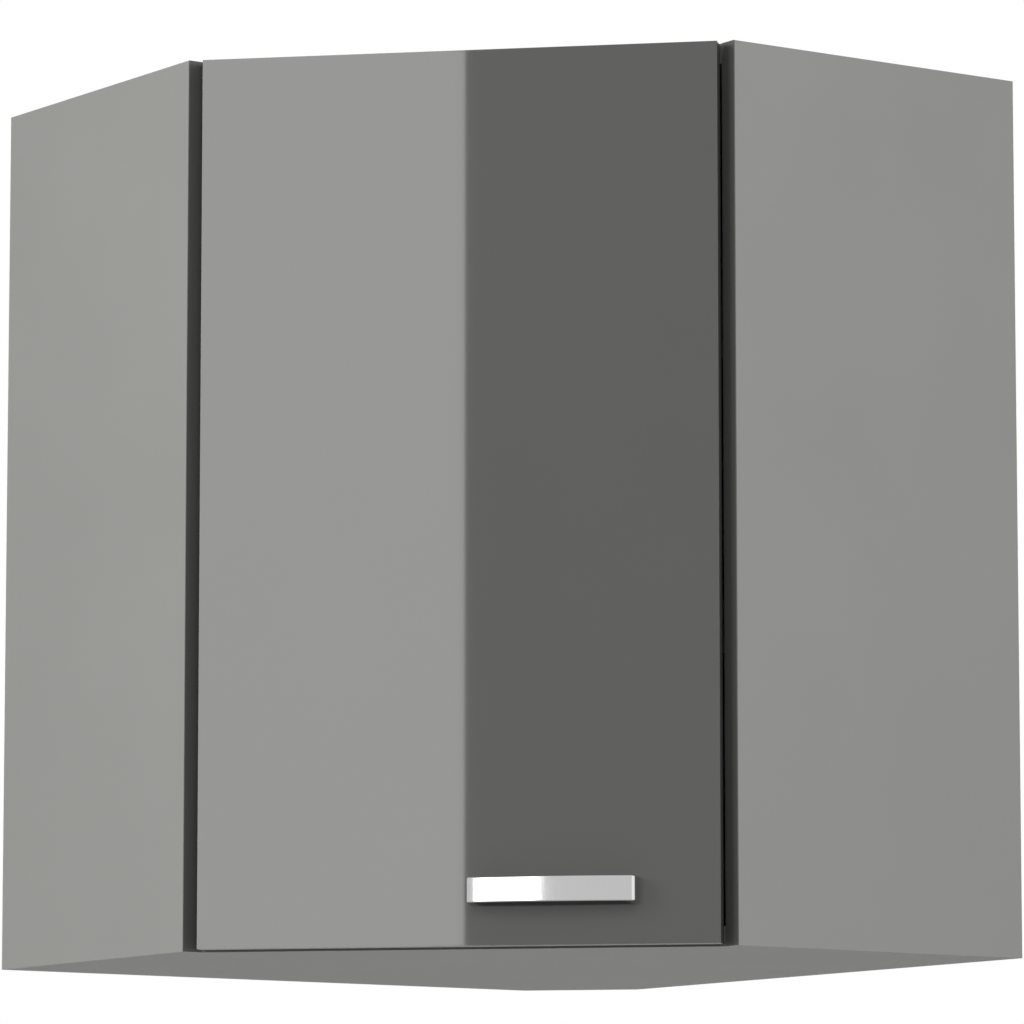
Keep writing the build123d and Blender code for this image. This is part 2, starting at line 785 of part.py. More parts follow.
with BuildPart() as door_panel:
    with BuildSketch(front_plane(door_back)):
        with Locations((0, height / 2)):
            Rectangle(door_width - 2 * band, door_height - 2 * band)
    extrude(amount=door_thickness)
    with BuildSketch(front_plane(door_back)):
        with Locations([(cup_across, up) for up in hinge_heights]):
            Circle(cup_radius + cup_bore_play)
    extrude(amount=cup_depth, mode=Mode.SUBTRACT)
    with BuildSketch(front_plane(door_back)):
        with Locations(cup_screw_points):
            Circle(cup_screw_radius)
    extrude(amount=cup_screw_length, mode=Mode.SUBTRACT)
    with BuildSketch(front_plane(door_back)):
        with Locations(handle_screw_points):
            Circle(handle_screw_hole_radius)
    extrude(amount=door_thickness, mode=Mode.SUBTRACT)

with BuildPart() as door_edge_bands:
    with BuildSketch(front_plane(door_back)):
        with Locations([(side * (door_width - band) / 2, height / 2) for side in (-1, 1)]):
            Rectangle(band, door_height)
    extrude(amount=door_thickness)
    with BuildSketch(front_plane(door_back)):
        with Locations([(0, height / 2 + side * (door_height - band) / 2) for side in (-1, 1)]):
            Rectangle(door_width - 2 * band, band)
    extrude(amount=door_thickness)

# ---------------------------------------------------------------- handle
handle_half = (handle_spacing + handle_leg) / 2
handle_inner = handle_half - handle_leg
handle_inner_depth = (
    handle_end_depth + handle_bow * (1 - (handle_inner / handle_half) ** 2) - handle_bar
)
handle_plan = Plane(
    origin=front_point(handle_middle_across, door_front, handle_middle_up),
    x_dir=(1, 1, 0),
    z_dir=(0, 0, 1),
)

with BuildPart() as handle:
    with BuildSketch(handle_plan):
        with BuildLine():
            Line((-handle_half, 0), (-handle_half, -handle_end_depth))
            ThreePointArc(
                (-handle_half, -handle_end_depth),
                (0, -handle_end_depth - handle_bow),
                (handle_half, -handle_end_depth),
            )
            Polyline((handle_half, -handle_end_depth), (handle_half, 0), (handle_inner, 0))
            Line((handle_inner, 0), (handle_inner, -handle_inner_depth))
            ThreePointArc(
                (handle_inner, -handle_inner_depth),
                (0, handle_bar - handle_end_depth - handle_bow),
                (-handle_inner, -handle_inner_depth),
            )
            Polyline((-handle_inner, -handle_inner_depth), (-handle_inner, 0), (-handle_half, 0))
        make_face()
    extrude(amount=handle_height / 2, both=True)
    corners = handle.edges().filter_by(Axis.Z).filter_by(
        lambda edge: handle_plan.to_local_coords(edge.center()).Y < 1 - handle_end_depth
    )
    fillet(corners, handle_corner)
    fronts = handle.faces().filter_by(
        lambda face: handle_plan.to_local_coords(face.center()).Y < -handle_end_depth
    )
    rims = fronts.sort_by(SortBy.AREA)[-1].edges().filter_by(
        lambda edge: abs(handle_plan.to_local_coords(edge.center()).Z) > 1
    )
    fillet(rims, handle_edge)
    with BuildSketch(front_plane(door_front)):
        with Locations(handle_screw_points):
            Circle(handle_screw_radius)
    extrude(amount=handle_screw_grip, mode=Mode.SUBTRACT)

with BuildPart() as handle_screws:
    with BuildSketch(front_plane(door_back)):
        with Locations(handle_screw_points):
            Circle(handle_screw_radius)
    extrude(amount=door_thickness + handle_screw_grip)
    with BuildSketch(front_plane(door_back)):
        with Locations(handle_screw_points):
            Circle(handle_screw_head_radius)
    extrude(amount=-handle_screw_head)
    with BuildSketch(front_plane(door_back + handle_screw_head)):
        with Locations(handle_screw_points):
            Rectangle(2 * handle_screw_head_radius, screw_slot)
    extrude(amount=handle_screw_head / 2, mode=Mode.SUBTRACT)

with BuildPart() as door_bumpers:
    with BuildSketch(front_plane(door_back)):
        with Locations([(door_width / 2 - bumper_from_edge, up) for up in joint_heights]):
            Circle(bumper_radius)
    extrude(amount=bumper_play - door_gap - floor_setback)

# ---------------------------------------------------------------- hinges
pin_place = front_point(door_edge + hinge_pin_across, door_back - hinge_pin_in)
neck_radius = hypot(hinge_pin_across, hinge_pin_in) + arm_clearance
neck_outer = neck_radius + arm_steel
arm_level = pin_place.Y + neck_radius - side_face     # of the arm's underside over the side panel
arm_rear = pin_place.X - arm_length
ear_near = arm_neck_width / 2 + ear_play
cup_inside = cup_radius - cup_wall


def hinge_cup_part(up):
    """Steel cup with its flange, screw wings and the two ears that carry the pin."""
    with BuildPart() as cup:
        with BuildSketch(front_plane(door_back)):
            with Locations((cup_across, up)):
                Circle(cup_radius)
        extrude(amount=cup_depth)
        with BuildSketch(front_plane(door_back)):
            with Locations((cup_across, up)):
                Circle(cup_flange_radius)
            with Locations((cup_screw_across, up)):
                SlotCenterToCenter(cup_screw_spacing, 2 * cup_wing_radius, rotation=90)
        extrude(amount=-cup_flange)
        with BuildSketch(front_plane(door_back + cup_flange)):
            with Locations((cup_across, up)):
                Circle(cup_inside)
        extrude(amount=cup_flange + cup_depth - cup_floor, mode=Mode.SUBTRACT)
        for side in (-1, 1):
            with BuildSketch(front_plane(door_back - cup_depth + cup_floor)):
                with Locations((cup_across, up)):
                    Circle(cup_radius - cup_wall / 2)
                with Locations((door_edge, up + side * (ear_near + cup_ear / 2))):
                    Rectangle(
                        hinge_pin_across + cup_ear_reach,
                        cup_ear,
                        align=(Align.MIN, Align.CENTER),
                        mode=Mode.INTERSECT,
                    )
            extrude(amount=-cup_ear_height)
        with BuildSketch(Plane.XY.offset(up)):
            with Locations((pin_place.X, pin_place.Y)):
                Circle(hinge_pin_radius)
        extrude(amount=ear_near + cup_ear, both=True, mode=Mode.SUBTRACT)
        with BuildSketch(front_plane(door_back + cup_flange)):
            with Locations([(cup_screw_across, up + side * cup_screw_spacing / 2) for side in (-1, 1)]):
                Circle(cup_screw_radius)
        extrude(amount=cup_flange, mode=Mode.SUBTRACT)
    return cup


def cup_screws_part(up):
    """Two slotted screws that hold the cup in the door."""
    points = [(cup_screw_across, up + side * cup_screw_spacing / 2) for side in (-1, 1)]
    with BuildPart() as screws:
        with BuildSketch(front_plane(door_back + cup_flange)):
            with Locations(points):
                Circle(cup_screw_radius)
        extrude(amount=cup_screw_length)
        with BuildSketch(front_plane(door_back + cup_flange)):
            with Locations(points):
                Circle(cup_screw_head_radius)
        extrude(amount=-cup_screw_head)
        with BuildSketch(front_plane(door_back + cup_flange + cup_screw_head)):
            with Locations(points):
                Rectangle(2 * cup_screw_head_radius, screw_slot)
        extrude(amount=cup_screw_head / 2, mode=Mode.SUBTRACT)
    return screws


def hinge_pin_part(up):
    """Pin through both ears of the cup and the arm's eye."""
    with BuildPart() as pin:
        with BuildSketch(Plane.XY.offset(up)):
            with Locations((pin_place.X, pin_place.Y)):
                Circle(hinge_pin_radius)
        extrude(amount=ear_near + cup_ear, both=True)
    return pin


def closing_spring_part(up):
    """Flat blade in the bottom of the cup, bent up at its far end."""
    with BuildPart() as blade:
        with BuildSketch(door_plan(up)):
            with BuildLine():
                Polyline(
                    (spring_near, cup_floor - cup_depth),
                    (spring_far, cup_floor - cup_depth),
                    (spring_far, cup_floor - cup_depth + spring_upright),
                    (spring_far - spring_steel, cup_floor - cup_depth + spring_upright),
                    (spring_far - spring_steel, cup_floor - cup_depth + spring_steel),
                    (spring_near, cup_floor - cup_depth + spring_steel),
                    close=True,
                )
            make_face()
        extrude(amount=spring_width / 2, both=True)
    return blade


def hinge_arm_part(up):
    """Arm with its eye on the pin, the neck round the door's edge and the channel on the plate."""
    with BuildPart() as arm:
        with BuildSketch(Plane(origin=(pin_place.X, pin_place.Y, up))):
            Circle(arm_eye_radius)
            Rectangle(neck_outer, arm_steel, align=(Align.MIN, Align.CENTER), rotation=45)
            with BuildLine():
                CenterArc((0, 0), neck_outer, 45, 45)
                Line((0, neck_outer), (-arm_wide_from, neck_outer))
                Line((-arm_wide_from, neck_outer), (-arm_wide_from, neck_radius))
                Line((-arm_wide_from, neck_radius), (0, neck_radius))
                CenterArc((0, 0), neck_radius, 45, 45)
                Line(
                    (neck_radius / ROOT_2, neck_radius / ROOT_2),
                    (neck_outer / ROOT_2, neck_outer / ROOT_2),
                )
            make_face()
            Circle(hinge_pin_radius + hinge_pin_play, mode=Mode.SUBTRACT)
        extrude(amount=arm_neck_width / 2, both=True)
        with BuildSketch(side_inner.offset(-arm_level)):
            with Locations((arm_rear, up)):
                Rectangle(arm_length - arm_wide_from, arm_width, align=(Align.MIN, Align.CENTER))
            with Locations((plate_x - adjust_screw_offset, up)):
                SlotCenterToCenter(
                    depth_slot,
                    2 * (depth_screw_radius + screw_hole_play),
                    mode=Mode.SUBTRACT,
                )
            with Locations((plate_x + adjust_screw_offset, up)):
                Circle(side_screw_radius, mode=Mode.SUBTRACT)
        extrude(amount=-arm_steel)
        with BuildSketch(side_inner.offset(-arm_level)):
            for side in (-1, 1):
                with Locations((arm_rear, up + side * (arm_width - arm_flange) / 2)):
                    Rectangle(
                        arm_length - arm_flange_front,
                        arm_flange,
                        align=(Align.MIN, Align.CENTER),
                    )
        extrude(amount=arm_flange_depth)
    return arm


def mounting_plate_part(up):
    """Cross-shaped plate on the side panel with the rib that the arm sits on."""
    with BuildPart() as plate:
        with BuildSketch(side_inner):
            with Locations((plate_x, up)):
                Rectangle(plate_length, arm_width)
                Rectangle(plate_wing, 2 * plate_wing_reach)
        extrude(amount=-plate_steel)
        with BuildSketch(side_inner):
            with Locations((plate_x, up)):
                Rectangle(plate_length, plate_rib_width)
        extrude(amount=-arm_level)
        with BuildSketch(side_inner.offset(-plate_steel)):
            with Locations([(plate_x, up + side * plate_screw_spacing / 2) for side in (-1, 1)]):
                Circle(plate_screw_radius)
        extrude(amount=plate_steel, mode=Mode.SUBTRACT)
        with BuildSketch(side_inner.offset(-arm_level)):
            with Locations((plate_x - adjust_screw_offset, up)):
                Circle(depth_screw_radius)
        extrude(amount=depth_screw_sunk, mode=Mode.SUBTRACT)
        with BuildSketch(side_inner.offset(-arm_level)):
            with Locations((plate_x + adjust_screw_offset, up)):
                Circle(side_screw_radius)
        extrude(amount=side_screw_sunk, mode=Mode.SUBTRACT)
    return plate


def plate_screws_part(up):
    """Two slotted screws that hold the mounting plate to the side panel."""
    points = [(plate_x, up + side * plate_screw_spacing / 2) for side in (-1, 1)]
    with BuildPart() as screws:
        with BuildSketch(side_inner.offset(-plate_steel)):
            with Locations(points):
                Circle(plate_screw_radius)
        extrude(amount=plate_steel + plate_screw_sunk)
        with BuildSketch(side_inner.offset(-plate_steel)):
            with Locations(points):
                Circle(plate_screw_head_radius)
        extrude(amount=-plate_screw_head)
        with BuildSketch(side_inner.offset(-plate_steel - plate_screw_head)):
            with Locations(points):
                Rectangle(2 * plate_screw_head_radius, screw_slot)
        extrude(amount=plate_screw_head / 2, mode=Mode.SUBTRACT)
    return screws


def depth_screw_part(up):
    """Screw that clamps the arm to the plate's rib through the arm's slot."""
    with BuildPart() as screw:
        with BuildSketch(side_inner.offset(-arm_level - arm_steel)):
            with Locations((plate_x - adjust_screw_offset, up)):
                Circle(depth_screw_radius)
        extrude(amount=arm_steel + depth_screw_sunk)
        with BuildSketch(side_inner.offset(-arm_level - arm_steel)):
            with Locations((plate_x - adjust_screw_offset, up)):
                Circle(depth_screw_head_radius)
        extrude(amount=-depth_screw_head)
        with BuildSketch(side_inner.offset(-arm_level - arm_steel - depth_screw_head)):
            with Locations((plate_x - adjust_screw_offset, up)):
                Rectangle(2 * depth_screw_head_radius, screw_slot)
        extrude(amount=depth_screw_head / 2, mode=Mode.SUBTRACT)
    return screw


def side_screw_part(up):
    """Grub screw that sets the arm's distance from the side panel."""
    with BuildPart() as screw:
        with BuildSketch(side_inner.offset(-arm_level - arm_steel - side_screw_proud)):
            with Locations((plate_x + adjust_screw_offset, up)):
                Circle(side_screw_radius)
        extrude(amount=side_screw_proud + arm_steel + side_screw_sunk)
        with BuildSketch(side_inner.offset(-arm_level - arm_steel - side_screw_proud)):
            with Locations((plate_x + adjust_screw_offset, up)):
                Rectangle(2 * side_screw_radius, screw_slot)
        extrude(amount=2 * side_screw_proud, mode=Mode.SUBTRACT)
    return screw


# ---------------------------------------------------------------- pieces
pieces = {
    "left_side_panel": left_side_panel,
    "right_side_panel": right_side_panel,
    "left_front_edge_band": left_front_edge_band,
    "right_front_edge_band": right_front_edge_band,
    "top_panel": top_panel,
    "bottom_panel": bottom_panel,
    "top_front_edge_band": top_front_edge_band,
    "bottom_front_edge_band": bottom_front_edge_band,
    "corner_back_panel": corner_back_panel,
    "left_back_panel": left_back_panel,
    "right_back_panel": right_back_panel,
    "lower_shelf": lower_shelf,
    "upper_shelf": upper_shelf,
    "lower_shelf_edge_band": lower_shelf_edge_band,
    "upper_shelf_edge_band": upper_shelf_edge_band,
    "lower_shelf_pins": lower_shelf_pins,
    "upper_shelf_pins": upper_shelf_pins,
    "cam_locks": cam_locks,
    "cam_bolts": cam_bolts,
    "cam_covers": cam_covers,
    "side_panel_dowels": side_panel_dowels,
    "corner_panel_dowels": corner_panel_dowels,
    "left_wall_rail": left_wall_rail,
    "right_wall_rail": right_wall_rail,
    "left_hanger_housing": left_hanger_housing,
    "right_hanger_housing": right_hanger_housing,
    "left_hanger_hook": left_hanger_hook,
    "right_hanger_hook": right_hanger_hook,
    "left_hanger_screws": left_hanger_screws,
    "right_hanger_screws": right_hanger_screws,
    "hanger_adjusters": hanger_adjusters,
    "door_panel": door_panel,
    "door_edge_bands": door_edge_bands,
    "handle": handle,
    "handle_screws": handle_screws,
    "door_bumpers": door_bumpers,
}

for place, up in zip(("lower", "upper"), hinge_heights):
    pieces[f"{place}_hinge_cup"] = hinge_cup_part(up)
    pieces[f"{place}_cup_screws"] = cup_screws_part(up)
    pieces[f"{place}_hinge_pin"] = hinge_pin_part(up)
    pieces[f"{place}_closing_spring"] = closing_spring_part(up)
    pieces[f"{place}_hinge_arm"] = hinge_arm_part(up)
    pieces[f"{place}_mounting_plate"] = mounting_plate_part(up)
    pieces[f"{place}_plate_screws"] = plate_screws_part(up)
    pieces[f"{place}_depth_screw"] = depth_screw_part(up)
    pieces[f"{place}_side_screw"] = side_screw_part(up)

for name, piece in pieces.items():
    piece.part.label = name
    export_step(piece.part, f"parts/{name}.step")
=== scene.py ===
import json
import math

import bmesh
import bpy
from mathutils import Matrix, Vector


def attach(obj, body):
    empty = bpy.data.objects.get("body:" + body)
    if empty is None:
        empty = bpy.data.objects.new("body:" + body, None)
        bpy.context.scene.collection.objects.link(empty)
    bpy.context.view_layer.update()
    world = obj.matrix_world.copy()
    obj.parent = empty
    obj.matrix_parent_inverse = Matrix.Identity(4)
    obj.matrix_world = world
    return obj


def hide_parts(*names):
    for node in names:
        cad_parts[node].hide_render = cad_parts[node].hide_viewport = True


# Looks of a diagonal corner wall cabinet. Lengths are in metres, +Z is up.
# The room corner is the origin, the walls are the planes x = 0 and y = 0.

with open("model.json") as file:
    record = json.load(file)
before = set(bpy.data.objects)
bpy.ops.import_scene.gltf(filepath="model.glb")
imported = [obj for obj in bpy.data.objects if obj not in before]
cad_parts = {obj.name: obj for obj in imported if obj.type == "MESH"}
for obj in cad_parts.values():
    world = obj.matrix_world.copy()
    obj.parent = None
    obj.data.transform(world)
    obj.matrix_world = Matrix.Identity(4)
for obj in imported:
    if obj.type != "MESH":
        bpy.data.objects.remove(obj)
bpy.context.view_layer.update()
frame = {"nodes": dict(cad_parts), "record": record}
nodes = frame["nodes"]

# ---------------------------------------------------------------- places of the cabinet
WALL_LENGTH = 0.600
SIDE_DEPTH = 0.286
BOARD = 0.016
FRONT_MIDDLE = (WALL_LENGTH + SIDE_DEPTH) / 2
ROOT_2 = math.sqrt(2)

DOOR_GAP = 0.0015                                          # in front of the sides' inner edges
DOOR_BACK = BOARD / ROOT_2 - DOOR_GAP                      # behind the line between the sides' edges
DOOR_FRONT = DOOR_BACK - BOARD
DOOR_BACK_LINE = ROOT_2 * FRONT_MIDDLE - DOOR_BACK         # of (x - y) / root 2
DOOR_FRONT_LINE = ROOT_2 * FRONT_MIDDLE - DOOR_FRONT
WALL_GAP = 0.016                                           # between a wall and the hardboard backs

ALONG = Vector((1, 1, 0)) / ROOT_2                         # along the door, to the right
INWARD = Vector((-1, 1, 0)) / ROOT_2                       # into the cabinet
UP = Vector((0, 0, 1))
CABINET_MIDDLE = (0.25, -0.25)                             # in plan


def front_point(across, depth, up=0.0):
    """Point given from the middle of the line between the sides' outer front edges."""
    return Vector((FRONT_MIDDLE, -FRONT_MIDDLE, up)) + ALONG * across + INWARD * depth


# ---------------------------------------------------------------- material building
class Finish:
    """A material with its shader, and short ways to add the nodes that feed it."""

    def __init__(self, name, colour, roughness, metallic=0.0):
        self.material = bpy.data.materials.new(name)
        self.material.use_nodes = True
        self.tree = self.material.node_tree
        self.shader = self.tree.nodes["Principled BSDF"]
        self.shader.inputs["Base Color"].default_value = (*colour, 1)
        self.shader.inputs["Roughness"].default_value = roughness
        self.shader.inputs["Metallic"].default_value = metallic
        self.place = self.node("ShaderNodeTexCoord").outputs["Object"]
        self.colour = tuple(colour)

    def node(self, kind, **settings):
        made = self.tree.nodes.new(kind)
        for key, value in settings.items():
            setattr(made, key, value)
        return made

    def join(self, source, target):
        self.tree.links.new(source, target)

    def stretched(self, factors):
        """The object's coordinates, scaled a different amount along each axis."""
        mapping = self.node("ShaderNodeMapping")
        mapping.inputs["Scale"].default_value = factors
        self.join(self.place, mapping.inputs["Vector"])
        return mapping.outputs["Vector"]

    def noise(self, scale, detail=2.0, rough=0.5, place=None):
        made = self.node("ShaderNodeTexNoise")
        made.inputs["Scale"].default_value = scale
        made.inputs["Detail"].default_value = detail
        made.inputs["Roughness"].default_value = rough
        self.join(place or self.place, made.inputs["Vector"])
        return made.outputs["Fac"]

    def cells(self, scale):
        made = self.node("ShaderNodeTexVoronoi")
        made.inputs["Scale"].default_value = scale
        self.join(self.place, made.inputs["Vector"])
        return made.outputs["Color"]

    def spread(self, source, low, high, from_low=0.3, from_high=0.7):
        """The source, moved from one range of values to another and held there."""
        made = self.node("ShaderNodeMapRange")
        made.inputs["From Min"].default_value = from_low
        made.inputs["From Max"].default_value = from_high
        made.inputs["To Min"].default_value = low
        made.inputs["To Max"].default_value = high
        self.join(source, made.inputs["Value"])
        return made.outputs["Result"]

    def combine(self, first, second, operation="ADD"):
        """Two values or outputs, put together by a math operation."""
        made = self.node("ShaderNodeMath", operation=operation)
        for socket, value in zip(made.inputs, (first, second)):
            if isinstance(value, (int, float)):
                socket.default_value = value
            else:
                self.join(value, socket)
        return made.outputs["Value"]

    def axis(self, direction):
        """How far a point lies along a direction."""
        made = self.node("ShaderNodeVectorMath", operation="DOT_PRODUCT")
        made.inputs[1].default_value = direction
        self.join(self.place, made.inputs[0])
        return made.outputs["Value"]

    def mixed(self, factor, first, second):
        """Two colours or outputs, mixed by a factor."""
        made = self.node("ShaderNodeMix", data_type="RGBA")
        sockets = (made.inputs[0], made.inputs[6], made.inputs[7])
        for socket, value in zip(sockets, (factor, first, second)):
            if isinstance(value, (int, float)):
                socket.default_value = value
            elif isinstance(value, tuple):
                socket.default_value = (*value, 1)
            else:
                self.join(value, socket)
        return made.outputs[2]

    def tones(self, source, *stops):
        """A row of colours, read by a value."""
        made = self.node("ShaderNodeValToRGB")
        ramp = made.color_ramp
        while len(ramp.elements) < len(stops):
            ramp.elements.new(0.5)
        for element, (position, colour) in zip(ramp.elements, stops):
            element.position = position
            element.color = (*colour, 1)
        self.join(source, made.inputs["Fac"])
        return made.outputs["Color"]

    def shade(self, factor):
        """The finish's own colour, made a little lighter or darker."""
        return tuple(min(1.0, channel * factor) for channel in self.colour)

    def paint(self, colour):
        self.join(colour, self.shader.inputs["Base Color"])

    def gloss(self, roughness):
        self.join(roughness, self.shader.inputs["Roughness"])

    def relief(self, height, distance, strength=1.0):
        made = self.node("ShaderNodeBump")
        made.inputs["Distance"].default_value = distance
        made.inputs["Strength"].default_value = strength
        self.join(height, made.inputs["Height"])
        self.join(made.outputs["Normal"], self.shader.inputs["Normal"])


# ---------------------------------------------------------------- finishes
LAMINATE = (0.300, 0.302, 0.290)
GRAPHITE = (0.068, 0.068, 0.066)
EDGING = (0.062, 0.062, 0.060)
DOOR_OUTWARD = tuple(-INWARD)
FACE_SKIN = 0.0001                                         # depth of a front face's colour
RAW_EDGE = 0.0002                                          # depth of a raw edge's colour


def laminate():
    """Grey melamine on chipboard: a fine pearl grain, and raw edges where it meets the walls."""
    made = Finish("grey_laminate", LAMINATE, 0.5)
    made.shader.inputs["Specular IOR Level"].default_value = 0.06
    pearl = made.noise(1400, 3, 0.6)
    cloud = made.noise(7, 2)
    tone = made.combine(made.spread(pearl, -0.5, 0.5), made.spread(cloud, -0.5, 0.5))
    surface = made.mixed(made.spread(tone, 0, 1, -1, 1), made.shade(0.965), made.shade(1.035))
    chips = made.cells(330)
    crumbs = made.noise(1100, 3, 0.7)
    chip_tone = made.tones(
        made.combine(chips, made.spread(crumbs, -0.15, 0.15)),
        (0.0, (0.27, 0.16, 0.085)),
        (0.45, (0.50, 0.34, 0.195)),
        (0.8, (0.64, 0.48, 0.31)),
        (1.0, (0.76, 0.62, 0.44)),
    )
    left_wall = made.combine(made.axis((1, 0, 0)), RAW_EDGE, "LESS_THAN")
    right_wall = made.combine(made.axis((0, 1, 0)), -RAW_EDGE, "GREATER_THAN")
    raw = made.combine(left_wall, right_wall, "MAXIMUM")
    made.paint(made.mixed(raw, surface, chip_tone))
    made.gloss(made.combine(made.spread(pearl, 0.46, 0.55), made.combine(raw, 0.3, "MULTIPLY")))
    grain = made.combine(pearl, made.combine(made.combine(chips, raw, "MULTIPLY"), 6, "MULTIPLY"))
    made.relief(grain, 0.00002, 0.5)
    return made.material


def gloss_door():
    """High gloss graphite lacquer on the front of the door, satin on its back."""
    made = Finish("gloss_door_board", GRAPHITE, 0.022)
    front = made.combine(made.axis(DOOR_OUTWARD), DOOR_BACK_LINE + BOARD / 4, "GREATER_THAN")
    back = made.combine(1, front, "SUBTRACT")
    fleck = made.noise(1600, 2)
    cloud = made.noise(5, 2)
    tone = made.combine(made.spread(fleck, -0.4, 0.4), made.spread(cloud, -0.6, 0.6))
    made.paint(made.mixed(made.spread(tone, 0, 1, -1, 1), made.shade(0.97), made.shade(1.03)))
    shine = made.spread(made.noise(40, 3), 0.021, 0.024)
    made.gloss(made.combine(shine, made.combine(back, 0.34, "MULTIPLY")))
    ripple = made.noise(70, 1)
    pearl = made.combine(made.noise(1400, 3), back, "MULTIPLY")
    made.relief(made.combine(made.combine(ripple, 0.06, "MULTIPLY"), pearl), 0.00001, 0.6)
    return made.material


def dark_edging():
    """Near-black plastic edging with a soft shine and fine marks along its length."""
    made = Finish("dark_edging", EDGING, 0.34)
    drawn = made.noise(60, 3, 0.6, made.stretched((30, 30, 1)))
    speck = made.noise(900, 2)
    made.paint(made.mixed(made.spread(speck, 0, 1), made.shade(0.93), made.shade(1.07)))
    made.gloss(made.spread(drawn, 0.3, 0.4))
    made.relief(speck, 0.00001, 0.4)
    return made.material


def door_edging():
    """The door's edging: its front faces carry the door's gloss, the rest is dark and satin."""
    made = Finish("door_edging", EDGING, 0.34)
    front = made.combine(made.axis(DOOR_OUTWARD), DOOR_FRONT_LINE - FACE_SKIN, "GREATER_THAN")
    speck = made.noise(900, 2)
    edge = made.mixed(made.spread(speck, 0, 1), made.shade(0.93), made.shade(1.07))
    made.paint(made.mixed(front, edge, GRAPHITE))
    made.gloss(made.combine(made.spread(speck, 0.3, 0.4), made.combine(front, -0.3, "MULTIPLY")))
    return made.material


def hardboard():
    """Thin fibre board: pale lacquer inside the cabinet, raw brown fibres behind."""
    made = Finish("hardboard", (0.42, 0.42, 0.405), 0.45)
    fibre = made.noise(260, 5, 0.75)
    speck = made.noise(1500, 2)
    raw = made.tones(
        fibre,
        (0.3, (0.25, 0.145, 0.072)),
        (0.5, (0.36, 0.225, 0.125)),
        (0.7, (0.47, 0.32, 0.195)),
    )
    lacquer = made.mixed(made.spread(speck, 0, 1), made.shade(0.97), made.shade(1.03))
    raw_face = WALL_GAP + 0.0005
    back_left = made.combine(made.axis((1, 0, 0)), raw_face, "LESS_THAN")
    back_right = made.combine(made.axis((0, 1, 0)), -raw_face, "GREATER_THAN")
    behind = made.combine(back_left, back_right, "MAXIMUM")
    made.paint(made.mixed(behind, lacquer, raw))
    made.gloss(made.combine(made.spread(speck, 0.4, 0.5), made.combine(behind, 0.35, "MULTIPLY")))
    made.relief(fibre, 0.00005, 0.35)
    return made.material


def chrome():
    """Chromed casting with a very fine polish."""
    made = Finish("chrome", (0.51, 0.51, 0.51), 0.09, 1.0)
    polish = made.noise(300, 3, 0.6, made.stretched((1, 1, 8)))
    made.paint(made.mixed(made.spread(polish, 0, 1), made.shade(0.985), made.shade(1.015)))
    made.gloss(made.spread(polish, 0.08, 0.1))
    made.relief(polish, 0.000001, 0.5)
    return made.material


def plated_steel():
    """Nickel-plated pressed steel with fine rolling marks."""
    made = Finish("plated_steel", (0.64, 0.62, 0.585), 0.26, 1.0)
    rolled = made.noise(1400, 3, 0.6, made.stretched((1, 1, 0.12)))
    cloud = made.noise(90, 2)
    made.paint(made.mixed(made.spread(cloud, 0, 1), made.shade(0.96), made.shade(1.04)))
    made.gloss(made.spread(rolled, 0.21, 0.29))
    made.relief(rolled, 0.000004, 0.35)
    return made.material


def galvanised_steel():
    """Zinc-coated sheet with its faint crystals, for the wall rails."""
    made = Finish("galvanised_steel", (0.52, 0.53, 0.535), 0.38, 1.0)
    crystals = made.cells(130)
    dust = made.noise(700, 3)
    tone = made.combine(crystals, made.spread(dust, -0.2, 0.2))
    made.paint(made.mixed(made.spread(tone, 0, 1, 0, 1), made.shade(0.82), made.shade(1.12)))
    made.gloss(made.spread(tone, 0.3, 0.48, 0, 1))
    made.relief(dust, 0.00001, 0.4)
    return made.material


def zinc_casting():
    """Die-cast zinc, dull and slightly grainy."""
    made = Finish("zinc_casting", (0.45, 0.45, 0.46), 0.45, 1.0)
    grain = made.noise(1200, 3, 0.6)
    made.paint(made.mixed(made.spread(grain, 0, 1), made.shade(0.85), made.shade(1.1)))
    made.gloss(made.spread(grain, 0.38, 0.55))
    made.relief(grain, 0.00003, 0.5)
    return made.material


def grey_plastic():
    """Moulded light grey plastic with a spark-eroded surface."""
    made = Finish("grey_plastic", (0.36, 0.36, 0.352), 0.45)
    spark = made.noise(1700, 3, 0.65)
    made.paint(made.mixed(made.spread(spark, 0, 1), made.shade(0.95), made.shade(1.05)))
    made.gloss(made.spread(spark, 0.4, 0.52))
    made.relief(spark, 0.00002, 0.6)
    return made.material


def beech():
    """Raw beech with its fine grain, for the dowels."""
    made = Finish("beech", (0.50, 0.31, 0.17), 0.7)
    grain = made.noise(500, 4, 0.6, made.stretched((1, 1, 0.15)))
    made.paint(made.mixed(made.spread(grain, 0, 1), made.shade(0.75), made.shade(1.15)))
    made.relief(grain, 0.00003, 0.6)
    return made.material


def clear_rubber():
    """Soft, slightly cloudy bumper dot."""
    made = Finish("clear_rubber", (0.62, 0.62, 0.60), 0.25)
    made.shader.inputs["Transmission Weight"].default_value = 0.55
    made.shader.inputs["IOR"].default_value = 1.45
    cloud = made.noise(700, 2)
    made.gloss(made.spread(cloud, 0.2, 0.32))
    made.relief(cloud, 0.00002, 0.3)
    return made.material


finishes = {
    "grey_laminate": laminate(),
    "gloss_door_board": gloss_door(),
    "dark_edging": dark_edging(),
    "door_edging": door_edging(),
    "hardboard": hardboard(),
    "chrome": chrome(),
    "plated_steel": plated_steel(),
    "zinc_casting": zinc_casting(),
    "grey_plastic": grey_plastic(),
    "beech": beech(),
    "clear_rubber": clear_rubber(),
    "galvanised_steel": galvanised_steel(),
}


def dress(piece, finish):
    """Gives a piece one finish all over."""
    piece.data.materials.clear()
    piece.data.materials.append(finishes[finish])


